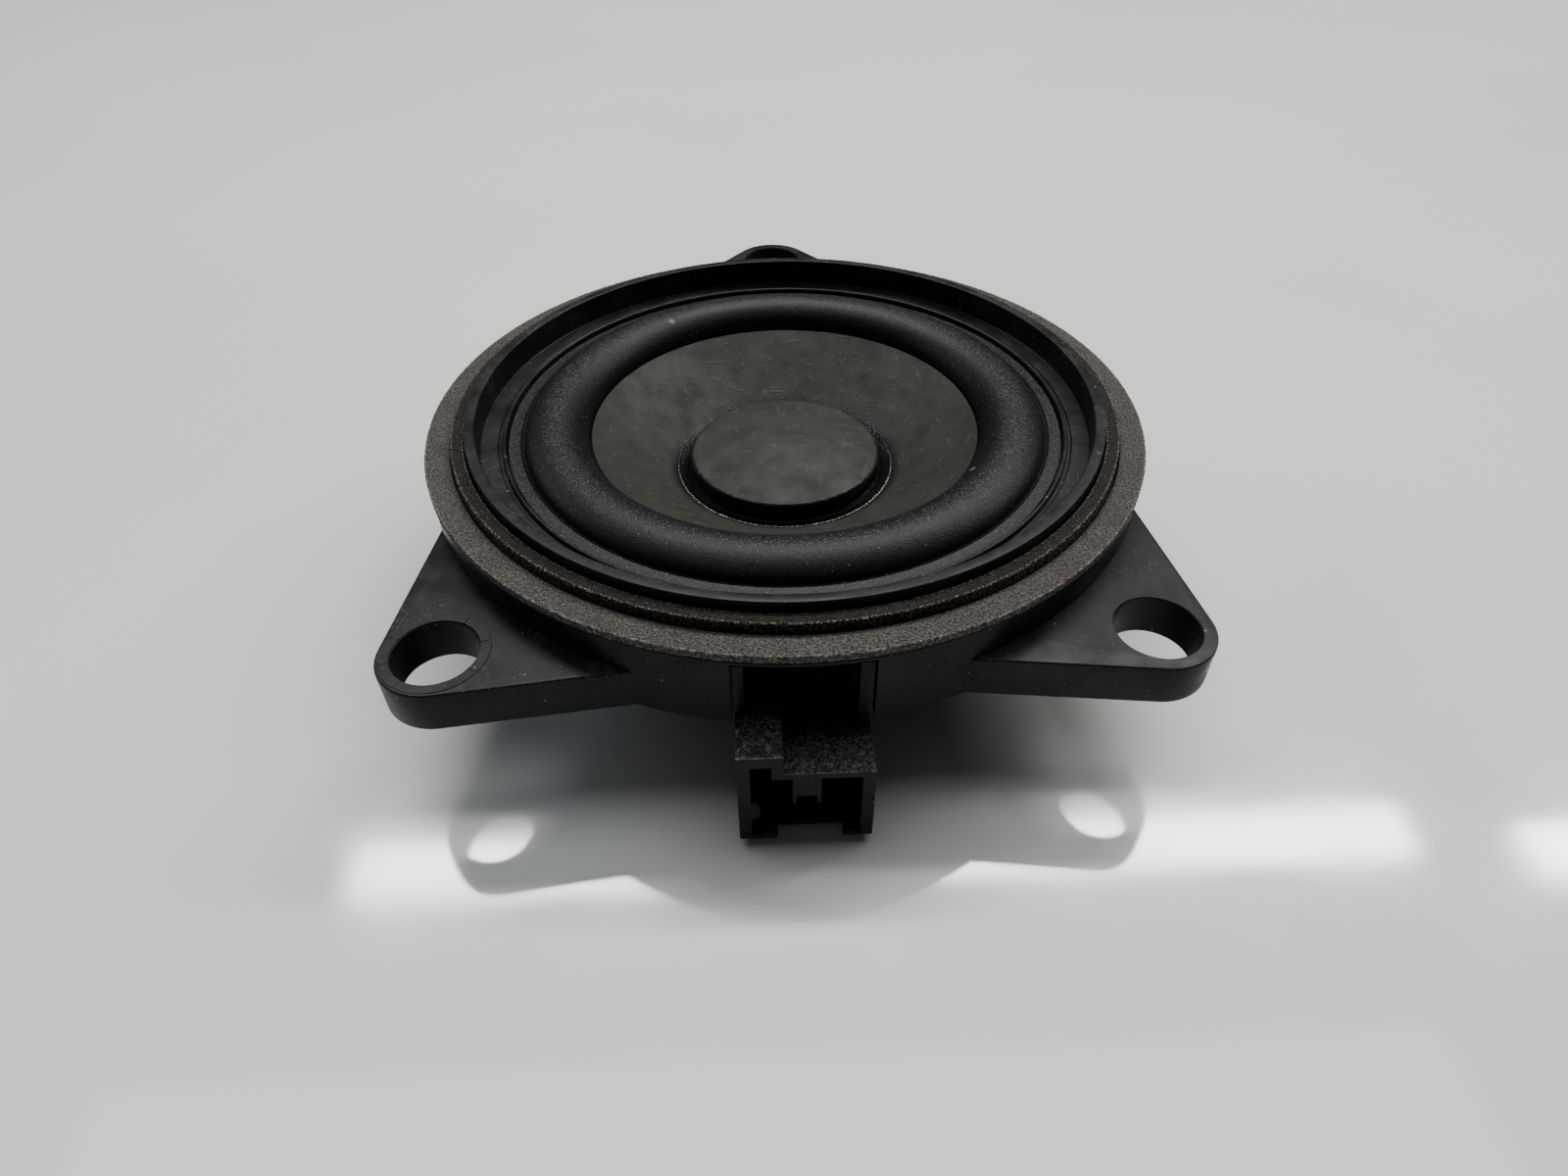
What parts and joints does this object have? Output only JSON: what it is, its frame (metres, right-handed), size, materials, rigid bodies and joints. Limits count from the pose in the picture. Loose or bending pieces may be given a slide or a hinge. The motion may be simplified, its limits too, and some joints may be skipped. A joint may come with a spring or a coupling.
{
  "type": "car door midrange loudspeaker",
  "caption": "Shallow round car-door midrange loudspeaker: three-eared moulded basket, rubber surround, paper cone with dust cap, compact magnet motor and keyed plug socket.",
  "frame": {"origin": "centre of the motor's flat back, on the cone's axis", "axes": "+Z along the cone's axis towards the listener, -Y towards the plug socket, +Y towards the single rear ear"},
  "size_m": [0.104, 0.1266, 0.0298],
  "materials": {
    "basket_plastic": "moulded black, satin",
    "outer_foam": "closed-cell foam, grey-brown, matte",
    "inner_foam": "foam, dark brown, matte",
    "surround_rubber": "satin black",
    "cone_paper": "pressed pulp, dark grey-green, matte",
    "cap_cloth": "pressed pulp, dark grey-green, matte",
    "former_film": "amber film",
    "winding_copper": "enamelled copper wire",
    "pad_copper": "tinned copper foil",
    "spider_cloth": "resin-treated cloth",
    "yoke_steel": "zinc-plated",
    "magnet_nickel": "nickel-plated",
    "plate_steel": "zinc-plated",
    "connector_plastic": "spark-eroded texture on top",
    "pin_tin": "tinned",
    "lead_braid": "braided copper tinsel"
  },
  "bodies": {
    "frame": {"basket": "basket_plastic", "outer_gasket": "outer_foam", "inner_gasket": "inner_foam", "surround": "surround_rubber", "spider": "spider_cloth", "yoke_cup": "yoke_steel", "magnet_disc": "magnet_nickel", "pole_plate": "plate_steel", "connector_housing": "connector_plastic", "terminal_pin_left": "pin_tin", "terminal_pin_right": "pin_tin", "tinsel_lead_left": "lead_braid", "tinsel_lead_right": "lead_braid"},
    "moving_assembly": {"cone": "cone_paper", "dust_cap": "cap_cloth", "voice_coil_former": "former_film", "voice_coil_winding": "winding_copper", "coil_pad_left": "pad_copper", "coil_pad_right": "pad_copper"}
  },
  "joints": [
    {"name": "cone_excursion", "type": "slide", "parent": "frame", "child": "moving_assembly", "axis": [0, 0, 1], "range_m": [-0.002, 0.002], "stiffness_N_per_m": 1600, "deforming": ["surround", "spider", "tinsel_lead_left", "tinsel_lead_right"]}
  ]
}
